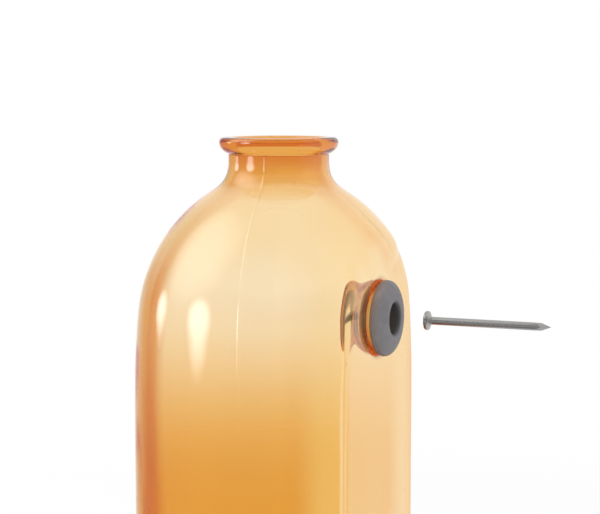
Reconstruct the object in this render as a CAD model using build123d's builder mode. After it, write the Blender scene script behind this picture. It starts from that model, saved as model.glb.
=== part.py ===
from build123d import *
import os
from math import atan2, cos, degrees, radians, sin, sqrt

# Hanging wall vase: a moulded glass bottle with a blind socket in its flat back, the rubber grommet in that
# socket, and the wall nail that goes into the grommet. Millimetres, +Z up. The wall is the plane Y = 0 with
# +Y into it, and the origin is where the nail's axis meets the wall. The bottle waits in front of the nail,
# in line with it and not yet pushed on.

# Nail
nail_length = 40.0
nail_diameter = 2.5
nail_stands_out = 20.0
head_diameter = 6.0
head_thickness = 1.1
head_edge_radius = 0.3
head_flare_width = 0.75
head_flare_length = 1.4
point_length = 5.0
point_facets = 4
swage_length = 0.5
swage_depth = 0.25
gap_to_nail = 10.0

# Grommet
head_clearance = 1.85
grommet_wall = 4.15
flange_overhang = 3.0
flange_thickness = 4.6
flange_rim = 0.8
flange_back_radius = 0.8
bore_edge_radius = 0.7
plug_length = 5.2
plug_lead_in = 0.8

# Socket in the glass
socket_above_shoulder = 0.45
plug_clearance = 0.05
head_room = 1.2
socket_end_radius = 2.4
socket_edge_radius = 0.5
socket_root_radius = 0.8

# Glass vessel
vase_height = 175.0
body_diameter = 93.8
flat_set_back = 11.5
flat_edge_radius = 6.0
wall = 2.6
base_thickness = 6.0
heel_radius = 8.0
inner_heel_radius = 8.0
punt_depth = 2.5
foot_ring_width = 10.0
taper_radius = 400.0
taper_angle = 4.3
shoulder_radius = 52.0
neck_diameter = 32.7
neck_height = 3.3
neck_flare_radius = 9.0
lip_overhang = 3.0
lip_height = 5.6
lip_roll_radius = 1.7
mouth_roll_radius = 1.8

# Radii, each built up from the piece inside it
nail_radius = nail_diameter / 2
head_radius = head_diameter / 2
bore_radius = head_radius + head_clearance
plug_radius = bore_radius + grommet_wall
flange_radius = plug_radius + flange_overhang
socket_radius = plug_radius + plug_clearance
body_radius = body_diameter / 2
inner_radius = body_radius - wall
foot_inner_radius = body_radius - heel_radius - foot_ring_width
neck_radius = neck_diameter / 2
mouth_radius = neck_radius - wall
lip_radius = neck_radius + lip_overhang

# Places along the nail's axis, from the wall outwards
head_y = -nail_stands_out
flare_start_y = head_y + head_thickness
shank_start_y = flare_start_y + head_flare_length
tip_y = head_y + nail_length
shank_end_y = tip_y - point_length
face_y = head_y - gap_to_nail
seat_y = face_y - flange_thickness
plug_end_y = seat_y - plug_length
socket_end_y = plug_end_y - head_room
vase_axis_y = seat_y + flat_set_back - body_radius

# The side of the bottle above its straight wall: a long slight taper, the round shoulder and the hollow flare
# into the neck, each tangent to the next. Heights count from the nail's axis.
taper_centre_r = body_radius - taper_radius
shoulder_centre_r = taper_centre_r + (taper_radius - shoulder_radius) * cos(radians(taper_angle))
shoulder_centre_z = -socket_above_shoulder - shoulder_radius * sin(radians(taper_angle))
taper_start_z = -socket_above_shoulder - taper_radius * sin(radians(taper_angle))
flare_centre_r = neck_radius + neck_flare_radius
flare_reach = flare_centre_r - shoulder_centre_r
flare_rise = sqrt((shoulder_radius + neck_flare_radius) ** 2 - flare_reach**2)
flare_angle = degrees(atan2(flare_rise, flare_reach))
neck_bottom_z = shoulder_centre_z + flare_rise
lip_bottom_z = neck_bottom_z + neck_height
rim_z = lip_bottom_z + lip_height
lip_roll_z = rim_z - lip_roll_radius
mouth_roll_z = rim_z - mouth_roll_radius
base_z = rim_z - vase_height
floor_z = base_z + base_thickness

vase_plane = Plane(origin=(0, vase_axis_y, 0), x_dir=(1, 0, 0), z_dir=(0, -1, 0))
vase_axis = Axis((0, vase_axis_y, 0), (0, 0, 1))


def bottle_side(inset):
    """Draws the taper, shoulder and flare of the bottle's side, set in from the outside by inset."""
    CenterArc((taper_centre_r, taper_start_z), taper_radius - inset, 0, taper_angle)
    shoulder_centre = (shoulder_centre_r, shoulder_centre_z)
    CenterArc(shoulder_centre, shoulder_radius - inset, taper_angle, flare_angle - taper_angle)
    CenterArc((flare_centre_r, neck_bottom_z), neck_flare_radius + inset, 180, flare_angle)


def heel(radius, corner_radius, bottom_z):
    """Draws the rounded corner between a bottom at bottom_z and an upright side at radius."""
    CenterArc((radius - corner_radius, bottom_z + corner_radius), corner_radius, -90, 90)
    Line((radius, bottom_z + corner_radius), (radius, taper_start_z))


def blind_hole(radius, corner_radius, end_y):
    """Draws half of a blind hole on the nail's axis, open at the flat back, with a rounded corner at its end."""
    Line((0, end_y), (radius - corner_radius, end_y))
    CenterArc((radius - corner_radius, end_y + corner_radius), corner_radius, -90, 90)
    Polyline((radius, end_y + corner_radius), (radius, seat_y), (0, seat_y), (0, end_y))


def cut_flat(flat_y, edge_radius):
    """Cuts the part off at a flat back at flat_y, and rounds the edge all round it."""
    split(bisect_by=Plane(origin=(0, flat_y, 0), z_dir=(0, 1, 0)), keep=Keep.BOTTOM)
    fillet(faces().sort_by(Axis.Y)[-1].edges(), edge_radius)


# The space inside the bottle, with the glass round the socket standing into it
with BuildPart() as cavity:
    with BuildSketch(vase_plane):
        with BuildLine():
            Line((0, floor_z), (inner_radius - inner_heel_radius, floor_z))
            heel(inner_radius, inner_heel_radius, floor_z)
            bottle_side(wall)
            Line((mouth_radius, neck_bottom_z), (mouth_radius, mouth_roll_z))
            CenterArc((mouth_radius + mouth_roll_radius, mouth_roll_z), mouth_roll_radius, 180, -90)
            Polyline((mouth_radius + mouth_roll_radius, rim_z), (0, rim_z), (0, floor_z))
        make_face()
    revolve(axis=vase_axis)
    cut_flat(seat_y - wall, flat_edge_radius - wall)
    with BuildSketch(Plane.XY):
        with BuildLine():
            blind_hole(socket_radius + wall, socket_end_radius + wall, socket_end_y - wall)
        make_face()
    revolve(axis=Axis.Y, mode=Mode.SUBTRACT)
    inner_flat = faces().sort_by(Axis.Y)[-1]
    fillet(inner_flat.inner_wires()[0].edges(), socket_root_radius)

# The bottle: its outside with the flat back, less the space inside, less the socket
with BuildPart() as glass_vessel:
    with BuildSketch(vase_plane):
        with BuildLine():
            TangentArc((0, base_z + punt_depth), (foot_inner_radius, base_z), tangent=(1, 0))
            Line((foot_inner_radius, base_z), (body_radius - heel_radius, base_z))
            heel(body_radius, heel_radius, base_z)
            bottle_side(0)
            Line((neck_radius, neck_bottom_z), (neck_radius, lip_bottom_z))
            TangentArc((lip_radius, lip_roll_z), (neck_radius, lip_bottom_z), tangent=(0, -1))
            CenterArc((lip_radius - lip_roll_radius, lip_roll_z), lip_roll_radius, 0, 90)
            Polyline((lip_radius - lip_roll_radius, rim_z), (0, rim_z), (0, base_z + punt_depth))
        make_face()
    revolve(axis=vase_axis)
    cut_flat(seat_y, flat_edge_radius)
    add(cavity.part, mode=Mode.SUBTRACT)
    with BuildSketch(Plane.XY):
        with BuildLine():
            blind_hole(socket_radius, socket_end_radius, socket_end_y)
        make_face()
    revolve(axis=Axis.Y, mode=Mode.SUBTRACT)
    flat_back = faces().sort_by(Axis.Y)[-1]
    fillet(flat_back.inner_wires()[0].edges(), socket_edge_radius)

# The grommet: a flange with a full, rounded face and a plug behind it, with one plain hole through both
with BuildPart() as grommet:
    with BuildSketch(Plane.XY):
        with BuildLine():
            Polyline(
                (bore_radius, face_y),
                (flange_radius, face_y),
                (flange_radius, seat_y),
                (plug_radius, seat_y),
                (plug_radius, plug_end_y),
                (bore_radius, plug_end_y),
                close=True,
            )
        make_face()
    revolve(axis=Axis.Y)
    face_rims = edges().filter_by_position(Axis.Y, face_y, face_y).sort_by(SortBy.RADIUS)
    fillet(face_rims[-1], flange_thickness - flange_rim - flange_back_radius)
    fillet(face_rims[0], bore_edge_radius)
    seat_rims = edges().filter_by_position(Axis.Y, seat_y, seat_y).sort_by(SortBy.RADIUS)
    fillet(seat_rims[-1], flange_back_radius)
    plug_rims = edges().filter_by_position(Axis.Y, plug_end_y, plug_end_y).sort_by(SortBy.RADIUS)
    chamfer(plug_rims[-1], plug_lead_in)

# The nail: a flat head with a flare under it, a round shank and a point of flat facets
with BuildPart() as nail:
    with BuildSketch(Plane.XY):
        with BuildLine():
            Polyline(
                (0, head_y),
                (head_radius, head_y),
                (head_radius, flare_start_y),
                (nail_radius + head_flare_width, flare_start_y),
                (nail_radius, shank_start_y),
                (nail_radius, shank_end_y),
                (nail_radius - swage_depth, tip_y),
                (0, tip_y),
                close=True,
            )
        make_face()
    revolve(axis=Axis.Y)
    fillet(edges().filter_by(GeomType.CIRCLE).sort_by(SortBy.RADIUS)[-2:], head_edge_radius)
    slope = atan2(nail_radius, point_length - swage_length)
    for facet in range(point_facets):
        turn = radians(360 * (facet + 0.5) / point_facets)
        outward = (cos(slope) * cos(turn), sin(slope), cos(slope) * sin(turn))
        split(bisect_by=Plane(origin=(0, tip_y, 0), z_dir=outward), keep=Keep.BOTTOM)

os.makedirs("parts", exist_ok=True)
glass_vessel.part.label = "glass_vessel"
export_step(glass_vessel.part, "parts/glass_vessel.step")
grommet.part.label = "grommet"
export_step(grommet.part, "parts/grommet.step")
nail.part.label = "nail"
export_step(nail.part, "parts/nail.step")
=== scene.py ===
"""Builds the looks of a hanging wall vase: an amber glass bottle, its rubber grommet and its wall nail."""

import math

import bmesh
import bpy
from bpy.props import FloatProperty, FloatVectorProperty, IntProperty, PointerProperty
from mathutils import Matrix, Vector
from mathutils.kdtree import KDTree


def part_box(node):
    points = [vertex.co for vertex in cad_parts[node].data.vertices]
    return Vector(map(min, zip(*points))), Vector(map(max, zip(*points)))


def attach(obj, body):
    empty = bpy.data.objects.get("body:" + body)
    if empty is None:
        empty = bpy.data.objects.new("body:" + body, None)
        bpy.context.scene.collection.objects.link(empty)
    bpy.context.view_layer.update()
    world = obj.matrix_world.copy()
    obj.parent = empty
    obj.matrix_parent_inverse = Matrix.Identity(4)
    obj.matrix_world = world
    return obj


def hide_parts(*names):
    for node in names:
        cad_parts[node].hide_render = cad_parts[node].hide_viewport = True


bl_info = {
    "name": "Hanging wall vase",
    "version": (1, 0, 0),
    "blender": (4, 5, 0),
    "location": "View3D > Sidebar > Wall vase",
    "description": "Models an amber glass wall vase with its rubber grommet and nail",
    "category": "Object",
}

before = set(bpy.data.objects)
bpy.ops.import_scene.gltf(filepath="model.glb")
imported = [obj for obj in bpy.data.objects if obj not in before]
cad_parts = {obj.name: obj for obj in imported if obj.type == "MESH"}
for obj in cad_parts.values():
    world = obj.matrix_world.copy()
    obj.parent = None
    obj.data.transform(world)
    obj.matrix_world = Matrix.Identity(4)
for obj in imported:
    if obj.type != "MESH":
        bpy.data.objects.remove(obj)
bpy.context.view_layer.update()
MM = 0.001
MERGE_DISTANCE = MM / 1000
PICTURE_WIDTH_PX = 600

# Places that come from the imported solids
glass_low, glass_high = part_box("glass_vessel")
grommet_low, grommet_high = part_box("grommet")
nail_low, nail_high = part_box("nail")
BODY_RADIUS = (glass_high.x - glass_low.x) / 2
AXIS_Y = glass_low.y + BODY_RADIUS
FLAT_Y = glass_high.y
RIM_Z = glass_high.z
BASE_Z = glass_low.z
FACE_Y = grommet_high.y
PLUG_END_Y = grommet_low.y
FLANGE_RADIUS = grommet_high.x
HEAD_Y = nail_low.y
TIP_Y = nail_high.y
HEAD_RADIUS = nail_high.x


def length(name, millimetres, description):
    """A length property, shown in the scene's units."""
    return FloatProperty(
        name=name,
        description=description,
        default=millimetres * MM,
        min=0.0,
        precision=5,
        unit="LENGTH",
        subtype="DISTANCE",
    )


def colour(name, values, description):
    """A colour property without alpha."""
    return FloatVectorProperty(
        name=name, description=description, default=values, min=0.0, max=1.0, size=3, subtype="COLOR"
    )


def angle(name, degrees, description):
    """An angle property, kept in radians."""
    return FloatProperty(
        name=name, description=description, default=math.radians(degrees), unit="ROTATION", subtype="ANGLE"
    )


class GlassSettings(bpy.types.PropertyGroup):
    """Sizes and tint of the glass bottle"""

    wall: length("Wall", 2.6, "Thickness of the bottle's wall")
    base: length("Base", 6.0, "Thickness of the glass under the floor of the bottle")
    heel: length("Heel", 8.0, "Rounding between the side and the base")
    inner_heel: length("Inner heel", 8.0, "Rounding between the inside wall and the floor")
    punt: length("Punt", 2.5, "Rise of the hollow under the base")
    foot: length("Foot ring", 10.0, "Width of the ring that the bottle stands on")
    taper: length("Taper radius", 400.0, "Radius of the slight taper below the shoulder")
    taper_angle: angle("Taper angle", 4.3, "Turn of the taper before the shoulder starts")
    shoulder: length("Shoulder radius", 52.0, "Radius of the round shoulder")
    socket_above: length("Socket above", 0.45, "How far the nail's axis lies above the shoulder's lower end")
    neck_diameter: length("Neck diameter", 32.7, "Outside diameter of the neck")
    flare: length("Neck flare", 9.0, "Radius of the hollow between the shoulder and the neck")
    lip_overhang: length("Lip overhang", 3.0, "How far the lip stands out from the neck")
    lip_height: length("Lip height", 5.6, "Height of the rolled lip")
    lip_corner: length("Lip corner", 0.35, "Stretch of neck and lip that keeps the corner between them sharp")
    lip_roll: length("Lip roll", 1.7, "Rounding of the lip's outer edge")
    mouth_roll: length("Mouth roll", 1.8, "Rounding of the lip's inner edge")
    socket_radius: length("Socket radius", 9.05, "Radius of the blind socket in the flat back")
    head_room: length("Head room", 1.2, "Space behind the grommet's plug for the nail's head")
    wave: length("Wave", 0.22, "Depth of the soft waves in the wall")
    wave_size: length("Wave size", 26.0, "Width of the soft waves in the wall")
    seam_width: length("Seam width", 0.55, "Width of the mould seam")
    seam_height: length("Seam height", 0.2, "Height of the mould seam")
    seam_angle: angle("Seam angle", 82.0, "Turn from the grommet to the mould seam")
    far_seam: FloatProperty(
        name="Far seam", description="Share of the seam's height that the seam opposite has", default=0.3
    )
    segments: IntProperty(name="Segments", description="Faces round the bottle's cage", default=48, min=16)
    tint: colour("Tint", (0.955, 0.66, 0.06), "Colour that the glass lets through")
    tint_density: FloatProperty(
        name="Tint density", description="How fast the glass takes up light, per metre", default=150.0
    )
    edge_tint: colour("Edge tint", (0.78, 0.33, 0.06), "Deeper colour where the wall turns away")
    low_tint: colour("Low tint", (0.905, 0.645, 0.23), "Deeper colour of the lower body")
    lip_tint: colour("Lip tint", (0.84, 0.50, 0.17), "Deeper colour of the lip")
    neck_tint: colour("Neck tint", (0.91, 0.69, 0.37), "Deeper colour of the neck")
    cup_tint: colour("Cup tint", (0.60, 0.50, 0.40), "Deeper colour of the thick glass round the socket")
    rim_tint: colour("Rim tint", (0.90, 0.80, 0.72), "Paler colour at the very edge")
    flat_tint: colour("Flat tint", (1.0, 0.98, 0.88), "Colour of the flat back")


class GrommetSettings(bpy.types.PropertyGroup):
    """Sizes and colours of the rubber grommet"""

    bore_radius: length("Bore radius", 4.85, "Radius of the hole through the grommet")
    plug_radius: length("Plug radius", 9.0, "Radius of the plug")
    flange_thickness: length("Flange thickness", 4.6, "Depth of the flange")
    face_rounding: length("Face rounding", 5.2, "Width of the round from the face to the rim")
    rim: length("Rim", 0.8, "Height of the flange's upright rim")
    back_rounding: length("Back rounding", 0.8, "Rounding between the rim and the back of the flange")
    bore_edge: length("Bore edge", 1.2, "Rounding where the face meets the bore")
    lead_in: length("Lead-in", 0.8, "Chamfer on the plug's end")
    crease: angle("Crease", 35.0, "Turn above which an edge of the rubber stays sharp")
    bore_end: length("Bore end", 0.25, "Chamfer where the bore meets the plug's end")
    plug_root: length("Plug root", 0.3, "Hollow between the flange's back and the plug")
    flash_width: length("Flash width", 0.24, "Width of the mould's flash line round the rim")
    flash_height: length("Flash height", 0.08, "Height of the mould's flash line round the rim")
    segments: IntProperty(name="Segments", description="Faces round the grommet", default=96, min=16)
    rubber: colour("Rubber", (0.165, 0.155, 0.163), "Main colour of the rubber")
    bloom: colour("Bloom", (0.215, 0.205, 0.212), "Paler colour where the rubber has bloomed")
    # Painted shade: this dark colour is painted on the rubber deep inside the bore, where shade falls.
    bore: colour("Bore", (0.055, 0.052, 0.052), "Colour of the rubber in the bore, which has not bloomed")


class NailSettings(bpy.types.PropertyGroup):
    """Sizes and colour of the wall nail"""

    shank_radius: length("Shank radius", 1.25, "Radius of the shank")
    head_thickness: length("Head thickness", 1.1, "Thickness of the flat head")
    head_edge: length("Head edge", 0.3, "Rounding of the head's two edges")
    flare_width: length("Flare width", 0.9, "How far the flare under the head stands out from the shank")
    flare_length: length("Flare length", 1.4, "Length of the flare under the head")
    point: length("Point", 5.0, "Length of the faceted point")
    swage: length("Swage", 0.5, "Length of the drawn-in stretch before the facets")
    swage_depth: length("Swage depth", 0.25, "How far the wire draws in over the point")
    crease: angle("Crease", 30.0, "Turn above which an edge of the nail stays sharp")
    facets: IntProperty(name="Facets", description="Flat facets on the point", default=4, min=3)
    segments: IntProperty(name="Segments", description="Faces round the nail", default=64, min=16)
    steel: colour("Steel", (0.37, 0.365, 0.355), "Colour of the drawn steel")


class StageSettings(bpy.types.PropertyGroup):
    """Camera, floor and light"""

    azimuth: angle("Azimuth", 113.5, "Direction that the camera looks from, round the vase")
    distance: length("Distance", 537.0, "Level distance from the vase's axis to the camera")
    height: length("Height", 15.0, "Camera height above the rim")
    pitch: angle("Pitch", 5.73, "How far the camera looks down")
    axis_px: FloatProperty(
        name="Axis column", description="Column of the picture where the vase's axis stands", default=278.8
    )
    focal_px: FloatProperty(name="Focal length", description="Focal length in picture columns", default=1672.0)
    floor_drop: length("Floor drop", 22.0, "How far the floor lies below the base")
    floor: colour("Floor", (0.86, 0.86, 0.86), "Colour of the floor")


def cage_swell(count):
    """How much a cage ring of count corners is enlarged so that its smoothed ring has the true radius."""
    return 3 / (2 + math.cos(math.tau / count))


def arc(centre_r, centre_z, radius, start, end, steps):
    """Points (r, z) along an arc, angles in degrees, both ends included."""
    turns = [math.radians(start + (end - start) * i / steps) for i in range(steps + 1)]
    return [(centre_r + radius * math.cos(t), centre_z + radius * math.sin(t)) for t in turns]


def even(start, end, steps):
    """Evenly spaced numbers from start to end, both included."""
    return [start + (end - start) * i / steps for i in range(steps + 1)]


def draw_outline(name, points):
    """Adds a mesh of one open line through the points, drawn corner by corner, and leaves it in edit mode."""
    bpy.ops.object.select_all(action="DESELECT")
    bpy.ops.mesh.primitive_plane_add(size=MM, location=(0, 0, 0))
    piece = bpy.context.object
    piece.name = name
    piece.data.name = name
    bpy.ops.object.mode_set(mode="EDIT")
    bpy.ops.mesh.select_mode(type="VERT")
    bpy.ops.mesh.select_all(action="SELECT")
    bpy.ops.mesh.merge(type="CENTER")
    bpy.ops.transform.translate(value=points[0])
    for here, there in zip(points, points[1:]):
        step = Vector(there) - Vector(here)
        bpy.ops.mesh.extrude_region_move(TRANSFORM_OT_translate={"value": step})
    return piece


def spin_outline(segments, centre, axis):
    """Turns the drawn outline into a closed round skin."""
    bpy.ops.mesh.select_all(action="SELECT")
    bpy.ops.mesh.spin(steps=segments, angle=math.tau, center=centre, axis=axis)
    bpy.ops.mesh.select_all(action="SELECT")
    bpy.ops.mesh.remove_doubles(threshold=MERGE_DISTANCE)


def select_open_edge(piece, chosen=None):
    """Selects the open edges of the mesh, or those of them whose ends all pass the test chosen."""
    bpy.ops.mesh.select_mode(type="EDGE")
    bpy.ops.mesh.select_all(action="DESELECT")
    mesh = bmesh.from_edit_mesh(piece.data)
    for edge in mesh.edges:
        if edge.is_boundary and (chosen is None or all(chosen(v.co) for v in edge.verts)):
            edge.select_set(True)
    bmesh.update_edit_mesh(piece.data)


def smooth_piece(piece, levels):
    """Leaves edit mode with faces pointing outwards, and applies a subdivision."""
    bpy.ops.mesh.select_all(action="SELECT")
    bpy.ops.mesh.normals_make_consistent(inside=False)
    bpy.ops.object.mode_set(mode="OBJECT")
    bpy.ops.object.shade_smooth()
    if levels:
        smooth = piece.modifiers.new("Smooth", "SUBSURF")
        smooth.levels = levels
        smooth.render_levels = levels
        bpy.ops.object.modifier_apply(modifier=smooth.name)


# Columns of the bottle's cage crowd towards the flat's edge by these shares, inside it and outside it. The back is
# pressed flat where the cosine of the turn from its middle is above PRESSED_COSINE.
CROWD_INSIDE = 0.7
CROWD_OUTSIDE = 0.4
PRESSED_COSINE = 0.2


class BottleShape:
    """The bottle's outline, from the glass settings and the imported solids."""

    def __init__(self, glass):
        self.glass = glass
        turn = glass.taper_angle
        self.neck_radius = glass.neck_diameter / 2
        self.mouth_radius = self.neck_radius - glass.wall
        self.lip_radius = self.neck_radius + glass.lip_overhang
        self.taper_r = BODY_RADIUS - glass.taper
        self.taper_z = -glass.socket_above - glass.taper * math.sin(turn)
        self.shoulder_r = self.taper_r + (glass.taper - glass.shoulder) * math.cos(turn)
        self.shoulder_z = -glass.socket_above - glass.shoulder * math.sin(turn)
        self.flare_r = self.neck_radius + glass.flare
        reach = self.flare_r - self.shoulder_r
        rise = math.sqrt((glass.shoulder + glass.flare) ** 2 - reach**2)
        self.flare_turn = math.degrees(math.atan2(rise, reach))
        self.neck_z = self.shoulder_z + rise
        self.lip_z = RIM_Z - glass.lip_height
        self.floor_z = BASE_Z + glass.base
        self.socket_end_y = PLUG_END_Y - glass.head_room
        self.flat_turn = math.acos((FLAT_Y - AXIS_Y) / BODY_RADIUS)

    def side_radius(self, z, inset):
        """Radius of the side at height z, set in from the outside by inset."""
        shoulder = self.glass.shoulder - inset
        if z <= self.taper_z:
            return BODY_RADIUS - inset
        if z <= self.shoulder_z + shoulder * math.sin(self.glass.taper_angle):
            return self.taper_r + math.sqrt((self.glass.taper - inset) ** 2 - (z - self.taper_z) ** 2)
        return self.shoulder_r + math.sqrt(shoulder**2 - (z - self.shoulder_z) ** 2)

    def column_turn(self, turn):
        """Turn of a column of the cage, moved so that one runs along the flat's edge and two run close beside it."""
        step = math.tau / self.glass.segments
        column = step * round(self.flat_turn / step)
        quarter = math.pi / 2
        if abs(turn) >= quarter:
            return turn
        if abs(turn) <= column:
            share = abs(turn) / column
            moved = self.flat_turn * share * (1 + CROWD_INSIDE - CROWD_INSIDE * share)
        else:
            share = (abs(turn) - column) / (quarter - column)
            crowded = share * (1 - CROWD_OUTSIDE + CROWD_OUTSIDE * share)
            moved = self.flat_turn + (quarter - self.flat_turn) * crowded
        return math.copysign(moved, turn)

    def pressed_radius(self, radius, turn, inset):
        """Radius at a turn from the middle of the flat back, once a round of the given radius is pressed flat."""
        if math.cos(turn) < PRESSED_COSINE:
            return radius
        return min(radius, (FLAT_Y - AXIS_Y - inset) / math.cos(turn))

    def shoulder_arc(self, inset, from_z, steps):
        """The shoulder from height from_z up to the neck's flare."""
        radius = self.glass.shoulder - inset
        start = math.degrees(math.asin((from_z - self.shoulder_z) / radius))
        return arc(self.shoulder_r, self.shoulder_z, radius, start, self.flare_turn, steps)


# The socket's patch in the bottle's cage: half its height, its rows, half its turn round the bottle, and how squarely
# its faces face along Y
PATCH_HALF = 20 * MM
PATCH_ROWS = 8
PATCH_TURN = math.radians(30)
PATCH_FACING = 0.5

# The grids that close the base and the floor: their radius, and how far off their level an open edge still counts as
# theirs, as a share of the punt
CAP_RADIUS = 10 * MM
CAP_REACH = 1.1


def bottle_outline(shape):
    """The bottle's half outline (r, z), up the outside and down the inside, and the number of points outside."""
    glass = shape.glass
    wall = glass.wall
    foot_inner = BODY_RADIUS - glass.heel - glass.foot
    heel_z = BASE_Z + glass.heel
    inner_radius = BODY_RADIUS - wall
    rows = even(-PATCH_HALF, PATCH_HALF, PATCH_ROWS)
    punt = [(r, BASE_Z + glass.punt * (1 - (r / foot_inner) ** 2)) for r in even(CAP_RADIUS, foot_inner, 4)]
    outside = punt + [(foot_inner + glass.foot / 2, BASE_Z)]
    outside += arc(BODY_RADIUS - glass.heel, heel_z, glass.heel, -90, 0, 4)
    outside += [(shape.side_radius(z, 0), z) for z in even(heel_z, -PATCH_HALF, 8)[1:-1]]
    outside += [(shape.side_radius(z, 0), z) for z in rows]
    outside += shape.shoulder_arc(0, PATCH_HALF, 7)[1:]
    outside += arc(shape.flare_r, shape.neck_z, glass.flare, 180 + shape.flare_turn, 180, 5)[1:]
    outside += [(shape.neck_radius, z) for z in even(shape.neck_z, shape.lip_z - glass.lip_corner, 2)[1:]]

    drop = glass.lip_height - glass.lip_roll
    under = (glass.lip_overhang**2 + drop**2) / (2 * glass.lip_overhang)
    under_turn = math.degrees(math.asin(drop / under))
    corner_turn = math.degrees(glass.lip_corner / under)
    lip = [(shape.neck_radius, shape.lip_z)]
    lip += arc(shape.lip_radius - under, RIM_Z - glass.lip_roll, under, corner_turn - under_turn, 0, 5)
    lip += arc(shape.lip_radius - glass.lip_roll, RIM_Z - glass.lip_roll, glass.lip_roll, 0, 90, 3)[1:]
    mouth = arc(shape.mouth_radius + glass.mouth_roll, RIM_Z - glass.mouth_roll, glass.mouth_roll, 90, 180, 3)

    inside = [(shape.mouth_radius, z) for z in even(RIM_Z - glass.mouth_roll, shape.neck_z, 4)[1:]]
    inside += arc(shape.flare_r, shape.neck_z, glass.flare + wall, 180, 180 + shape.flare_turn, 5)[1:]
    inside += shape.shoulder_arc(wall, PATCH_HALF, 7)[-2::-1]
    inside += [(shape.side_radius(z, wall), z) for z in rows[-2::-1]]
    inner_heel_z = shape.floor_z + glass.inner_heel
    inside += [(shape.side_radius(z, wall), z) for z in even(-PATCH_HALF, inner_heel_z, 8)[1:-1]]
    inside += arc(inner_radius - glass.inner_heel, inner_heel_z, glass.inner_heel, 0, -90, 4)
    inside += [(r, shape.floor_z) for r in even(inner_radius - glass.inner_heel, CAP_RADIUS, 3)[1:]]
    outside += lip + mouth
    return outside + inside, len(outside)


def press_back(piece, shape, outline, outside_count):
    """Presses the round cage flat at the back: the base and floor shrink there, the side and shoulder are cut off."""
    glass = shape.glass
    swell = cage_swell(glass.segments)
    rows = KDTree(len(outline))
    for number, (r, z) in enumerate(outline):
        rows.insert((r, z, 0), number)
    rows.balance()
    mesh = bmesh.from_edit_mesh(piece.data)
    for corner in mesh.verts:
        out = Vector((corner.co.x, corner.co.y - AXIS_Y))
        number = rows.find((out.length / swell, corner.co.z, 0))[1]
        inset = 0 if number < outside_count else glass.wall
        turn = shape.column_turn(math.atan2(out.x, out.y))
        heel_top = BASE_Z + glass.heel if inset == 0 else shape.floor_z + glass.inner_heel
        if corner.co.z <= heel_top:
            full = (BODY_RADIUS - inset) * swell
            radius = out.length * shape.pressed_radius(full, turn, inset) / full
        else:
            radius = shape.pressed_radius(out.length, turn, inset)
        corner.co = (radius * math.sin(turn), AXIS_Y + radius * math.cos(turn), corner.co.z)
    bmesh.update_edit_mesh(piece.data)


def push_rings(piece, rings):
    """Extrudes the open edge through rings (radius, y) round the nail's axis, and closes the last with a grid."""
    mesh = bmesh.from_edit_mesh(piece.data)
    count = sum(1 for edge in mesh.edges if edge.is_boundary)
    step = math.tau / count
    swell = cage_swell(count)
    for radius, y in rings:
        bpy.ops.mesh.extrude_region_move()
        mesh = bmesh.from_edit_mesh(piece.data)
        corners = [v for v in mesh.verts if v.select]
        corners.sort(key=lambda v: (math.atan2(v.co.z, v.co.x) + step / 4) % math.tau)
        for rank, corner in enumerate(corners):
            turn = step * rank
            corner.co = (radius * swell * math.cos(turn), y, radius * swell * math.sin(turn))
        bmesh.update_edit_mesh(piece.data)
    bpy.ops.mesh.fill_grid(span=count // 4)


def open_patch(piece, y):
    """Deletes the cage's faces on the flat at y where the socket goes, and selects the edge left open."""
    bpy.ops.mesh.select_mode(type="FACE")
    bpy.ops.mesh.select_all(action="DESELECT")
    mesh = bmesh.from_edit_mesh(piece.data)
    mesh.normal_update()
    for face in mesh.faces:
        middle = face.calc_center_median()
        turn = math.atan2(middle.x, middle.y - AXIS_Y)
        on_patch = abs(middle.z) < PATCH_HALF and abs(turn) < PATCH_TURN
        if on_patch and abs(face.normal.y) > PATCH_FACING and abs(middle.y - y) < MM:
            face.select_set(True)
    bmesh.update_edit_mesh(piece.data)
    bpy.ops.mesh.delete(type="FACE")
    select_open_edge(piece)


# Cage rings of the socket in the flat back and of the glass cup round it, in millimetres: radii on the flat, then steps
# (outwards, along Y) from the side at the flat, then such steps from the side at the rounded end
SOCKET_RINGS = (
    (16.0, 13.0),
    ((1.6, 0), (0.6, 0), (0.1, -0.1), (0, -0.6), (0, -1.8)),
    ((0, 3.6), (0, 2.6), (-0.05, 1.2), (-0.7, 0.25), (-2.0, 0), (-4.0, 0)),
)
CUP_RINGS = (
    (16.2, 14.0),
    ((0.9, 0), (0.2, -0.2), (0, -0.9), (0, -2.0)),
    ((-0.1, 3.4), (-0.6, 1.8), (-1.8, 0.5), (-3.6, 0), (-5.6, 0)),
)


def ring_places(rings, radius, flat_y, end_y):
    """Places (radius, y) of the rings for a side of the given radius, from the flat at flat_y to the end at end_y."""
    on_flat, from_flat, from_end = rings
    places = [(r * MM, flat_y) for r in on_flat]
    places += [(radius + out * MM, flat_y + along * MM) for out, along in from_flat]
    places += [(radius + out * MM, end_y + along * MM) for out, along in from_end]
    return places


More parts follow.
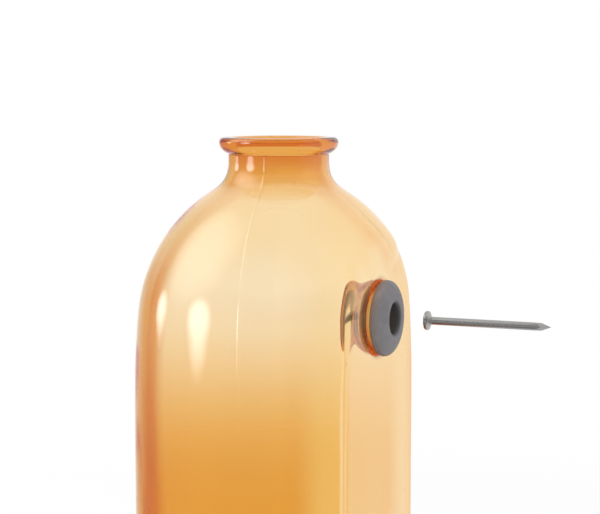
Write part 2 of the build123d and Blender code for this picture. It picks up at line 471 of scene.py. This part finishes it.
def raise_seam(piece, shape):
    """Cuts the two mould seams into the outer skin, opposite each other, and raises them a little, one less."""
    glass = shape.glass
    along = Vector((math.sin(glass.seam_angle), math.cos(glass.seam_angle), 0))
    across = Vector((along.y, -along.x, 0))
    middle = Vector((0, AXIS_Y, 0))
    crest = glass.seam_width / 8
    bpy.ops.object.mode_set(mode="EDIT")
    for offset in (-glass.seam_width / 2, 0, glass.seam_width / 2):
        bpy.ops.mesh.select_all(action="SELECT")
        bpy.ops.mesh.bisect(plane_co=middle + across * offset, plane_no=across)
    mesh = bmesh.from_edit_mesh(piece.data)
    for corner in mesh.verts:
        out = corner.co - middle
        level = Vector((out.x, out.y, 0))
        on_seam = abs(level.dot(across)) < crest
        on_side = BASE_Z + glass.heel < corner.co.z < shape.lip_z
        if on_seam and on_side and corner.normal.dot(level) > 0:
            share = 1.0 if level.dot(along) > 0 else glass.far_seam
            corner.co += corner.normal * glass.seam_height * share
    bmesh.update_edit_mesh(piece.data)
    bpy.ops.object.mode_set(mode="OBJECT")


# The waves fade in from WAVE_FADE to twice that behind the flat. Their middle lies above the texture's brightest
# value, so that they only sink into the wall and never stand out of it.
WAVE_FADE = 10 * MM
WAVE_MIDDLE = 1.1


def wave_wall(piece, glass):
    """Gives the round wall the soft uneven waves of moulded glass, and leaves the flat back and the socket true."""
    away = piece.vertex_groups.new(name="away_from_flat")
    for corner in piece.data.vertices:
        share = min(max((FLAT_Y - corner.co.y) / WAVE_FADE - 1, 0), 1)
        away.add([corner.index], share, "REPLACE")
    waves = bpy.data.textures.new("wall_waves", "CLOUDS")
    waves.noise_scale = glass.wave_size
    waves.noise_depth = 1
    ripple = piece.modifiers.new("Waves", "DISPLACE")
    ripple.texture = waves
    ripple.texture_coords = "LOCAL"
    ripple.strength = glass.wave
    ripple.mid_level = WAVE_MIDDLE
    ripple.vertex_group = away.name
    bpy.ops.object.modifier_apply(modifier=ripple.name)
    piece.vertex_groups.clear()


def new_material(name):
    """An empty node material with its output node."""
    material = bpy.data.materials.new(name)
    material.use_nodes = True
    tree = material.node_tree
    tree.nodes.clear()
    output = tree.nodes.new("ShaderNodeOutputMaterial")
    return material, tree, output


def feed(tree, socket, value):
    """Links another node's output into the socket, or gives the socket its own value."""
    if isinstance(value, bpy.types.NodeSocket):
        tree.links.new(value, socket)
    else:
        socket.default_value = value


def new_node(tree, kind, inputs=None):
    """Adds a shader node of the kind and feeds its named inputs."""
    node = tree.nodes.new(f"ShaderNode{kind}")
    for name, value in (inputs or {}).items():
        feed(tree, node.inputs[name], value)
    return node


def maths(tree, operation, first, second):
    """The result of a maths node on two numbers."""
    node = new_node(tree, "Math")
    node.operation = operation
    feed(tree, node.inputs[0], first)
    feed(tree, node.inputs[1], second)
    return node.outputs["Value"]


def vector_maths(tree, operation, first, second=(0, 0, 0)):
    """The outputs of a vector maths node on two vectors."""
    node = new_node(tree, "VectorMath")
    node.operation = operation
    feed(tree, node.inputs[0], first)
    feed(tree, node.inputs[1], second)
    return node.outputs


def spread(tree, value, start, end, low=0.0, high=1.0, smooth=False):
    """A number that runs from low where the value is start to high where it is end."""
    ends = {"From Min": start, "From Max": end, "To Min": low, "To Max": high}
    node = new_node(tree, "MapRange", {"Value": value, **ends})
    if smooth:
        node.interpolation_type = "SMOOTHSTEP"
    return node.outputs["Result"]


def opaque(values):
    """A colour with full alpha."""
    return (*values, 1)


def colour_ramp(tree, value, stops, ease=False):
    """The colour at the value on a ramp through stops (place, colour), which are in order."""
    node = new_node(tree, "ValToRGB", {"Fac": value})
    if ease:
        node.color_ramp.interpolation = "EASE"
    ready = list(node.color_ramp.elements)
    for number, (place, tone) in enumerate(stops):
        stop = ready[number] if number < len(ready) else node.color_ramp.elements.new(place)
        stop.position = place
        stop.color = opaque(tone)
    return node.outputs["Color"]


def mix_colours(tree, share, first, second, mode="MIX"):
    """The first colour with a share of the second mixed or multiplied in."""
    node = new_node(tree, "Mix")
    node.data_type = "RGBA"
    node.blend_type = mode
    for name, value in (("Factor", share), ("A", first), ("B", second)):
        feed(tree, node.inputs[name], value)
    return node.outputs["Result"]


def mix_shaders(tree, share, first, second):
    """The first shader with a share of the second mixed in."""
    node = new_node(tree, "MixShader", {"Fac": share})
    feed(tree, node.inputs[1], first)
    feed(tree, node.inputs[2], second)
    return node.outputs["Shader"]


def rough_skin(tree, height, strength, depth):
    """The normal of a skin with fine bumps of the given height."""
    return new_node(tree, "Bump", {"Height": height, "Strength": strength, "Distance": depth}).outputs["Normal"]


def noise(tree, place, scale, detail):
    """A noise value over the place."""
    return new_node(tree, "TexNoise", {"Vector": place, "Scale": scale, "Detail": detail}).outputs["Fac"]


# Plain white, which as a tint leaves the light as it is
WHITE = (1, 1, 1)

# Stops of the glass's tints. The turn runs from 0 where the wall faces the camera to 1 where it turns away, and the
# height from 0 at the base to 1 at the rim.
EDGE_STARTS, EDGE_FULL, EDGE_ENDS, RIM_FULL = 0.46, 0.60, 0.70, 0.80
LOW_FULL, LOW_ENDS, NECK_STARTS, NECK_FULL, LIP_FULL = 0.34, 0.72, 0.885, 0.925, 0.965

# The edge's tint and the low tint come in between these places behind the flat. Up on the shoulder only a share of the
# edge's tint is left, and the rest comes in between these heights.
ROUND_STARTS, ROUND_FULL = FLAT_Y - 5 * MM, FLAT_Y - 14 * MM
DOME_ENDS, SIDE_STARTS, DOME_SHARE = 30 * MM, 5 * MM, 0.3

# The thick glass round the socket: the middle of its zone, the radii that the zone ends between, and the places behind
# the flat that it comes in between
CUP_MIDDLE = (0, FLAT_Y - 5 * MM, 0)
CUP_ENDS, CUP_FULL = 14 * MM, 13 * MM
CUP_STARTS_Y, CUP_FULL_Y = FLAT_Y - 0.1 * MM, FLAT_Y - 0.9 * MM

# Light that has been mirrored in the glass goes straight on beside the flat's edge: the places behind the flat that
# this comes in between, the distances from the socket's zone that it starts between, and the tint it takes
STRAIGHT_ENDS_Y, STRAIGHT_FULL_Y = FLAT_Y - 18 * MM, FLAT_Y - 12 * MM
STRAIGHT_STARTS, STRAIGHT_FULL = 15 * MM, 18 * MM
STRAIGHT_TINT = (0.97, 0.86, 0.66)


def glass_tint(tree, glass, parts, from_cup):
    """The glass's colour: deeper at the edge, low down, in the neck and lip and round the socket."""
    turned = new_node(tree, "LayerWeight").outputs["Facing"]
    edge_stops = (
        (EDGE_STARTS, WHITE),
        (EDGE_FULL, glass.edge_tint),
        (EDGE_ENDS, glass.edge_tint),
        (RIM_FULL, glass.rim_tint),
    )
    zone_stops = (
        (LOW_FULL, glass.low_tint),
        (LOW_ENDS, WHITE),
        (NECK_STARTS, WHITE),
        (NECK_FULL, glass.neck_tint),
        (LIP_FULL, glass.lip_tint),
    )
    edge = colour_ramp(tree, turned, edge_stops)
    zones = colour_ramp(tree, spread(tree, parts["Z"], BASE_Z, RIM_Z), zone_stops, ease=True)
    round_side = spread(tree, parts["Y"], ROUND_STARTS, ROUND_FULL, smooth=True)
    below_dome = spread(tree, parts["Z"], DOME_ENDS, SIDE_STARTS, low=DOME_SHARE, smooth=True)
    banded = maths(tree, "MULTIPLY", round_side, below_dome)
    sided = mix_colours(tree, banded, opaque(glass.flat_tint), edge)
    amber = mix_colours(tree, round_side, sided, zones, "MULTIPLY")
    near_cup = spread(tree, from_cup, CUP_ENDS, CUP_FULL)
    behind = spread(tree, parts["Y"], CUP_STARTS_Y, CUP_FULL_Y)
    cup = maths(tree, "MULTIPLY", near_cup, behind)
    return mix_colours(tree, cup, amber, opaque(glass.cup_tint), "MULTIPLY")


def straight_share(tree, parts, from_cup):
    """Where light goes straight through the glass: lamps' shadows, and mirrored light beside the flat's edge."""
    path = new_node(tree, "LightPath").outputs
    near_flat = spread(tree, parts["Y"], STRAIGHT_ENDS_Y, STRAIGHT_FULL_Y)
    off_cup = spread(tree, from_cup, STRAIGHT_STARTS, STRAIGHT_FULL)
    at_edge = maths(tree, "MULTIPLY", near_flat, off_cup)
    mirrored = maths(tree, "GREATER_THAN", path["Glossy Depth"], 0.5)
    trapped = maths(tree, "MULTIPLY", mirrored, at_edge)
    return maths(tree, "MAXIMUM", path["Is Shadow Ray"], trapped)


def amber_glass(glass):
    """Clear glass, tinted through by absorption, with a faint ripple on its surface."""
    material, tree, output = new_material("amber_glass")
    place = new_node(tree, "TexCoord").outputs["Object"]
    parts = new_node(tree, "SeparateXYZ", {"Vector": place}).outputs
    from_cup = vector_maths(tree, "DISTANCE", place, CUP_MIDDLE)["Value"]
    skin = {
        "Base Color": glass_tint(tree, glass, parts, from_cup),
        "Roughness": 0.0,
        "IOR": 1.5,
        "Transmission Weight": 1.0,
        "Normal": rough_skin(tree, noise(tree, place, scale=90.0, detail=1.0), strength=0.06, depth=0.4 * MM),
    }
    shader = new_node(tree, "BsdfPrincipled", skin).outputs["BSDF"]
    clear = new_node(tree, "BsdfTransparent", {"Color": opaque(STRAIGHT_TINT)}).outputs["BSDF"]
    depth = {"Color": opaque(glass.tint), "Density": glass.tint_density}
    feed(tree, output.inputs["Surface"], mix_shaders(tree, straight_share(tree, parts, from_cup), shader, clear))
    feed(tree, output.inputs["Volume"], new_node(tree, "VolumeAbsorption", depth).outputs["Volume"])
    return material


# Where the rubber's noise turns to bloom, how far the bore's painted shade stands out past its side, and the distances
# from the plug's end that the painted shade ends between
BLOOM_STARTS, BLOOM_FULL = 0.35, 0.75
BORE_SHADE_MARGIN = 0.1 * MM
BORE_SHADE_STARTS, BORE_SHADE_ENDS = 3.6 * MM, 1.5 * MM


def grey_rubber(grommet):
    """Matte moulded rubber with a little bloom and a fine skin, and painted shade darkening it deep in its bore."""
    material, tree, output = new_material("grey_rubber")
    place = new_node(tree, "TexCoord").outputs["Object"]
    along = new_node(tree, "SeparateXYZ", {"Vector": place}).outputs["Y"]
    patches = noise(tree, place, scale=260.0, detail=5.0)
    tone = colour_ramp(tree, patches, ((BLOOM_STARTS, grommet.rubber), (BLOOM_FULL, grommet.bloom)))
    across = vector_maths(tree, "MULTIPLY", place, (1, 0, 1))["Vector"]
    out = vector_maths(tree, "LENGTH", across)["Value"]
    # Masks for the bore's painted shade: none on the face or near the plug's end, full deep inside the bore.
    face_edge = grommet.bore_radius + grommet.bore_edge
    on_face = spread(tree, out, grommet.bore_radius + BORE_SHADE_MARGIN, face_edge, smooth=True)
    at_end = spread(tree, along, PLUG_END_Y + BORE_SHADE_STARTS, PLUG_END_Y + BORE_SHADE_ENDS, smooth=True)
    shown = maths(tree, "MAXIMUM", on_face, at_end)
    skin = {
        # Deep in the bore the rubber's tone gives way to the bore's dark colour, which is painted shade.
        "Base Color": mix_colours(tree, shown, opaque(grommet.bore), tone),
        "Roughness": spread(tree, patches, 0, 1, low=0.48, high=0.66),
        "Normal": rough_skin(tree, noise(tree, place, scale=2600.0, detail=3.0), strength=0.25, depth=0.05 * MM),
    }
    feed(tree, output.inputs["Surface"], new_node(tree, "BsdfPrincipled", skin).outputs["BSDF"])
    return material


# Stretch of the steel's noise, which draws it out into fine lines along the nail
LINES_SCALE = (9000, 60, 9000)


def drawn_steel(nail):
    """Bright drawn wire: metal with fine lines along the shank."""
    material, tree, output = new_material("bright_steel")
    place = new_node(tree, "TexCoord").outputs["Object"]
    along = new_node(tree, "Mapping", {"Vector": place, "Scale": LINES_SCALE}).outputs["Vector"]
    lines = noise(tree, along, scale=1.0, detail=4.0)
    skin = {
        "Base Color": opaque(nail.steel),
        "Metallic": 1.0,
        "Roughness": spread(tree, lines, 0, 1, low=0.16, high=0.30),
        "Normal": rough_skin(tree, lines, strength=0.05, depth=0.02 * MM),
    }
    feed(tree, output.inputs["Surface"], new_node(tree, "BsdfPrincipled", skin).outputs["BSDF"])
    return material


def stand_for(piece, material, node, body):
    """Gives the piece its material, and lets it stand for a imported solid."""
    piece.data.materials.clear()
    piece.data.materials.append(material)
    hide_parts(node)
    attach(piece, body)


class WALLVASE_OT_glass(bpy.types.Operator):
    """Models the glass bottle with its socket"""

    bl_idname = "wallvase.glass"
    bl_label = "Glass bottle"

    def execute(self, context):
        glass = context.scene.wallvase_glass
        shape = BottleShape(glass)
        swell = cage_swell(glass.segments)
        outline, outside_count = bottle_outline(shape)
        piece = draw_outline("amber_bottle", [(r * swell, AXIS_Y, z) for r, z in outline])
        spin_outline(glass.segments, (0, AXIS_Y, 0), (0, 0, 1))
        press_back(piece, shape, outline, outside_count)
        for level in (BASE_Z, shape.floor_z):
            select_open_edge(piece, lambda co: abs(co.z - level) < glass.punt * CAP_REACH)
            bpy.ops.mesh.fill_grid(span=glass.segments // 4)
        socket, wall, end_y = glass.socket_radius, glass.wall, shape.socket_end_y
        open_patch(piece, FLAT_Y)
        push_rings(piece, ring_places(SOCKET_RINGS, socket, FLAT_Y, end_y))
        open_patch(piece, FLAT_Y - wall)
        push_rings(piece, ring_places(CUP_RINGS, socket + wall, FLAT_Y - wall, end_y - wall))
        smooth_piece(piece, levels=2)
        wave_wall(piece, glass)
        raise_seam(piece, shape)
        stand_for(piece, amber_glass(glass), "glass_vessel", "vase")
        return {"FINISHED"}


def grommet_outline(grommet):
    """The grommet's half section (r, y): up the bore, over the full rounded face, round the flange, down the plug."""
    bore = grommet.bore_radius
    plug = grommet.plug_radius
    seat = FACE_Y - grommet.flange_thickness
    edge = grommet.bore_edge
    back = grommet.back_rounding
    fall = grommet.flange_thickness - grommet.rim - back
    full = grommet.face_rounding
    rim_y = FACE_Y - fall
    points = [(bore, y) for y in even(PLUG_END_Y + grommet.bore_end, FACE_Y - edge, 6)]
    points += arc(bore + edge, FACE_Y - edge, edge, 180, 90, 8)[1:]
    crown = [math.radians(t) for t in even(90, 0, 16)]
    points += [(FLANGE_RADIUS - full + full * math.cos(t), rim_y + fall * math.sin(t)) for t in crown]
    flash = rim_y - grommet.rim / 2
    points += [
        (FLANGE_RADIUS, flash + grommet.flash_width / 2),
        (FLANGE_RADIUS + grommet.flash_height, flash),
        (FLANGE_RADIUS, flash - grommet.flash_width / 2),
    ]
    points += arc(FLANGE_RADIUS - back, seat + back, back, 0, -90, 6)
    root = grommet.plug_root
    points += arc(plug + root, seat - root, root, 90, 180, 4)
    points += [(plug, y) for y in even(seat - root, PLUG_END_Y + grommet.lead_in, 5)[1:]]
    points += [(plug - grommet.lead_in, PLUG_END_Y), (bore + grommet.bore_end, PLUG_END_Y)]
    return points + points[:1]


class WALLVASE_OT_grommet(bpy.types.Operator):
    """Models the rubber grommet"""

    bl_idname = "wallvase.grommet"
    bl_label = "Rubber grommet"

    def execute(self, context):
        grommet = context.scene.wallvase_grommet
        piece = draw_outline("rubber_grommet", [(r, y, 0) for r, y in grommet_outline(grommet)])
        spin_outline(grommet.segments, (0, 0, 0), (0, 1, 0))
        smooth_piece(piece, levels=0)
        bpy.ops.object.shade_smooth_by_angle(angle=grommet.crease)
        stand_for(piece, grey_rubber(grommet), "grommet", "grommet")
        return {"FINISHED"}


def nail_outline(nail):
    """The nail's half section (r, y): over the head, down the hollow flare and along the shank."""
    shank = nail.shank_radius
    edge = nail.head_edge
    under = HEAD_Y + nail.head_thickness
    flare_r = shank + nail.flare_width
    points = [(r, HEAD_Y) for r in even(0, HEAD_RADIUS - edge, 5)]
    points += arc(HEAD_RADIUS - edge, HEAD_Y + edge, edge, -90, 0, 5)[1:]
    points += arc(HEAD_RADIUS - edge, under - edge, edge, 0, 90, 5)
    hollow = [math.radians(t) for t in even(-90, -180, 10)]
    flare_end = under + nail.flare_length
    points += [
        (flare_r + nail.flare_width * math.cos(t), flare_end + nail.flare_length * math.sin(t)) for t in hollow
    ]
    points += [(shank, y) for y in even(flare_end, TIP_Y - nail.point, 12)[1:]]
    points += [(shank - nail.swage_depth, TIP_Y), (0, TIP_Y)]
    return points


def cut_point(nail):
    """Cuts the flat facets of the point."""
    slope = math.atan2(nail.shank_radius, nail.point - nail.swage)
    for facet in range(nail.facets):
        turn = math.tau * (facet + 0.5) / nail.facets
        outward = (math.cos(slope) * math.cos(turn), math.sin(slope), math.cos(slope) * math.sin(turn))
        bpy.ops.mesh.select_all(action="SELECT")
        bpy.ops.mesh.bisect(plane_co=(0, TIP_Y, 0), plane_no=outward, use_fill=True, clear_outer=True)


class WALLVASE_OT_nail(bpy.types.Operator):
    """Models the wall nail"""

    bl_idname = "wallvase.nail"
    bl_label = "Wall nail"

    def execute(self, context):
        nail = context.scene.wallvase_nail
        piece = draw_outline("wire_nail", [(r, y, 0) for r, y in nail_outline(nail)])
        spin_outline(nail.segments, (0, 0, 0), (0, 1, 0))
        cut_point(nail)
        smooth_piece(piece, levels=0)
        bpy.ops.object.shade_smooth_by_angle(angle=nail.crease)
        stand_for(piece, drawn_steel(nail), "nail", "nail")
        return {"FINISHED"}


SENSOR_WIDTH_MM = 36.0
CLIP_START = 10 * MM


def set_camera(stage):
    """Places the camera where the picture was taken from."""
    data = bpy.data.cameras.new("camera")
    data.sensor_width = SENSOR_WIDTH_MM
    data.lens = SENSOR_WIDTH_MM * stage.focal_px / PICTURE_WIDTH_PX
    data.clip_start = CLIP_START
    camera = bpy.data.objects.new("camera", data)
    bpy.context.scene.collection.objects.link(camera)
    back = Vector((math.sin(stage.azimuth), -math.cos(stage.azimuth), 0))
    camera.location = Vector((0, AXIS_Y, RIM_Z + stage.height)) + back * stage.distance
    aside = math.atan((PICTURE_WIDTH_PX / 2 - stage.axis_px) / stage.focal_px)
    camera.rotation_euler = (math.pi / 2 - stage.pitch, 0, stage.azimuth - aside)
    bpy.context.scene.camera = camera


# Soft lamps, as (name, place, width and height, power)
LAMPS = (
    ("key", (0.55, -0.75, 0.55), (0.5, 0.7), 6.0),
    ("fill", (0.75, 0.55, 0.25), (0.5, 0.6), 2.5),
    ("top", (-0.1, -0.1, 0.9), (0.8, 0.8), 5.0),
)


def add_lamp(name, place, aim, size, power):
    """A soft lamp at place, turned to aim, that reflections and the glass don't show."""
    data = bpy.data.lights.new(name, "AREA")
    data.shape = "RECTANGLE"
    data.size, data.size_y = size
    data.energy = power
    lamp = bpy.data.objects.new(name, data)
    bpy.context.scene.collection.objects.link(lamp)
    lamp.location = place
    lamp.rotation_euler = (Vector(aim) - Vector(place)).to_track_quat("-Z", "Y").to_euler()
    lamp.visible_glossy = False
    lamp.visible_transmission = False


# Brightness of the studio in front, as (height from 0 straight down to 1 straight up, level)
STUDIO_LEVELS = (
    (0.30, 0.4),
    (0.42, 0.6),
    (0.54, 0.6),
    (0.61, 0.28),
    (0.68, 0.32),
    (0.76, 0.75),
    (0.88, 0.6),
    (1.0, 0.4),
)

# Soft windows of the studio, as (direction, full out to this many degrees, gone at this many degrees, strength)
STUDIO_WINDOWS = (
    ((0.70, -0.68, 0.10), 2, 14, 9.0),
    ((0.30, -0.72, 0.62), 4, 34, 2.6),
    ((0.05, -1.0, 0.06), 1, 9, 6.0),
)

# Behind, the studio is white, except that towards -Y it falls to a lower level between these directions. The studio in
# front takes over between the last two.
DARK_FULL_Y, DARK_STARTS_Y, DARK_LEVEL = -0.85, -0.55, 0.4
FRONT_STARTS_X, FRONT_FULL_X = 0.0, 0.5

# The plain soft light on all that isn't seen in gloss
SOFT_LIGHT = (0.97, 0.98, 1.0)
SOFT_STRENGTH = 0.55


def soft_window(tree, way, direction, core, rim, strength):
    """Brightness of a soft patch of the studio round a direction."""
    towards = vector_maths(tree, "DOT_PRODUCT", way, Vector(direction).normalized())["Value"]
    ends = math.cos(math.radians(rim)), math.cos(math.radians(core))
    return spread(tree, towards, *ends, high=strength, smooth=True)


def studio_bands(tree, way):
    """Levels of the studio in front, from the floor up to the ceiling, and of the studio behind."""
    parts = new_node(tree, "SeparateXYZ", {"Vector": way}).outputs
    stops = [(height, (level, level, level)) for height, level in STUDIO_LEVELS]
    bands = colour_ramp(tree, spread(tree, parts["Z"], -1.0, 1.0), stops, ease=True)
    front = spread(tree, parts["X"], FRONT_STARTS_X, FRONT_FULL_X, smooth=True)
    behind = spread(tree, parts["Y"], DARK_FULL_Y, DARK_STARTS_Y, low=DARK_LEVEL, smooth=True)
    return new_node(tree, "Mix", {"Factor": front, "A": behind, "B": bands}).outputs["Result"]


def background(tree, tone, strength):
    """A background of one colour and the given strength."""
    return new_node(tree, "Background", {"Color": opaque(tone), "Strength": strength}).outputs["Background"]


def set_world():
    """White where the camera and the glass look, pale and dark levels in gloss, plain soft light on all else."""
    world = bpy.data.worlds.new("studio")
    bpy.context.scene.world = world
    world.use_nodes = True
    tree = world.node_tree
    tree.nodes.clear()
    way = new_node(tree, "TexCoord").outputs["Generated"]
    level = studio_bands(tree, way)
    for window in STUDIO_WINDOWS:
        level = maths(tree, "ADD", level, soft_window(tree, way, *window))
    light = background(tree, SOFT_LIGHT, SOFT_STRENGTH)
    gloss = background(tree, WHITE, level)
    white = background(tree, WHITE, 1.0)
    path = new_node(tree, "LightPath").outputs
    seen = maths(tree, "MAXIMUM", path["Is Camera Ray"], path["Is Transmission Ray"])
    unseen = mix_shaders(tree, path["Is Glossy Ray"], light, gloss)
    new_node(tree, "OutputWorld", {"Surface": mix_shaders(tree, seen, unseen, white)})


# The floor's width, and the distances from the vase's axis that it turns from its own colour to white between
FLOOR_SIZE = 1100 * MM
FLOOR_NEAR, FLOOR_FAR = 120 * MM, 500 * MM


def floor_material(stage):
    """A pale floor that keeps the shadow near the object, turns white far from it and is clear from below."""
    material, tree, output = new_material("floor")
    place = new_node(tree, "TexCoord").outputs["Object"]
    far = vector_maths(tree, "LENGTH", place)["Value"]
    path = new_node(tree, "LightPath").outputs
    seen = maths(tree, "MAXIMUM", path["Is Camera Ray"], path["Is Glossy Ray"])
    share = maths(tree, "MULTIPLY", seen, spread(tree, far, FLOOR_NEAR, FLOOR_FAR, smooth=True))
    plain = new_node(tree, "BsdfDiffuse", {"Color": opaque(stage.floor)}).outputs["BSDF"]
    white = new_node(tree, "Emission", {"Color": opaque(WHITE)}).outputs["Emission"]
    below = new_node(tree, "NewGeometry").outputs["Backfacing"]
    clear = new_node(tree, "BsdfTransparent").outputs["BSDF"]
    top = mix_shaders(tree, share, plain, white)
    feed(tree, output.inputs["Surface"], mix_shaders(tree, below, top, clear))
    return material


# How often light may be bent or mirrored in the glass, and may pass a clear surface
GLASS_BOUNCES = 32
CLEAR_BOUNCES = 16


class WALLVASE_OT_stage(bpy.types.Operator):
    """Sets the floor, the light and the camera"""

    bl_idname = "wallvase.stage"
    bl_label = "Stage"

    def execute(self, context):
        stage = context.scene.wallvase_stage
        context.scene.view_settings.view_transform = "Standard"
        context.scene.cycles.max_bounces = GLASS_BOUNCES
        context.scene.cycles.glossy_bounces = GLASS_BOUNCES
        context.scene.cycles.transmission_bounces = GLASS_BOUNCES
        context.scene.cycles.transparent_max_bounces = CLEAR_BOUNCES
        bpy.ops.object.select_all(action="DESELECT")
        bpy.ops.mesh.primitive_plane_add(size=FLOOR_SIZE, location=(0, 0, 0))
        floor = context.object
        floor.name = "floor"
        floor.data.transform(floor.matrix_world)
        floor.location = (0, AXIS_Y, BASE_Z - stage.floor_drop)
        floor.data.materials.append(floor_material(stage))
        floor.visible_glossy = False
        set_world()
        middle = (0, AXIS_Y, (RIM_Z + BASE_Z) / 2)
        for name, place, size, power in LAMPS:
            add_lamp(name, place, middle, size, power)
        set_camera(stage)
        return {"FINISHED"}


class WALLVASE_PT_pieces(bpy.types.Panel):
    """Lists the vase's pieces and the stage"""

    bl_idname = "WALLVASE_PT_pieces"
    bl_label = "Hanging wall vase"
    bl_space_type = "VIEW_3D"
    bl_region_type = "UI"
    bl_category = "Wall vase"

    def draw(self, context):
        for operator in OPERATORS:
            self.layout.operator(operator.bl_idname)
        for name in SETTINGS:
            box = self.layout.box()
            group = getattr(context.scene, name)
            for prop in group.bl_rna.properties:
                if prop.identifier not in ("rna_type", "name"):
                    box.prop(group, prop.identifier)


OPERATORS = (WALLVASE_OT_glass, WALLVASE_OT_grommet, WALLVASE_OT_nail, WALLVASE_OT_stage)
SETTINGS = {
    "wallvase_glass": GlassSettings,
    "wallvase_grommet": GrommetSettings,
    "wallvase_nail": NailSettings,
    "wallvase_stage": StageSettings,
}


def register():
    """Adds the settings, the operators and the panel."""
    for group in SETTINGS.values():
        bpy.utils.register_class(group)
    for name, group in SETTINGS.items():
        setattr(bpy.types.Scene, name, PointerProperty(type=group))
    for shown in (*OPERATORS, WALLVASE_PT_pieces):
        bpy.utils.register_class(shown)


def unregister():
    """Takes the panel, the operators and the settings away."""
    for shown in (WALLVASE_PT_pieces, *reversed(OPERATORS)):
        bpy.utils.unregister_class(shown)
    for name, group in SETTINGS.items():
        delattr(bpy.types.Scene, name)
        bpy.utils.unregister_class(group)


def main():
    """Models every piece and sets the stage."""
    register()
    bpy.ops.wallvase.glass()
    bpy.ops.wallvase.grommet()
    bpy.ops.wallvase.nail()
    bpy.ops.wallvase.stage()


if __name__ == "__main__":
    main()
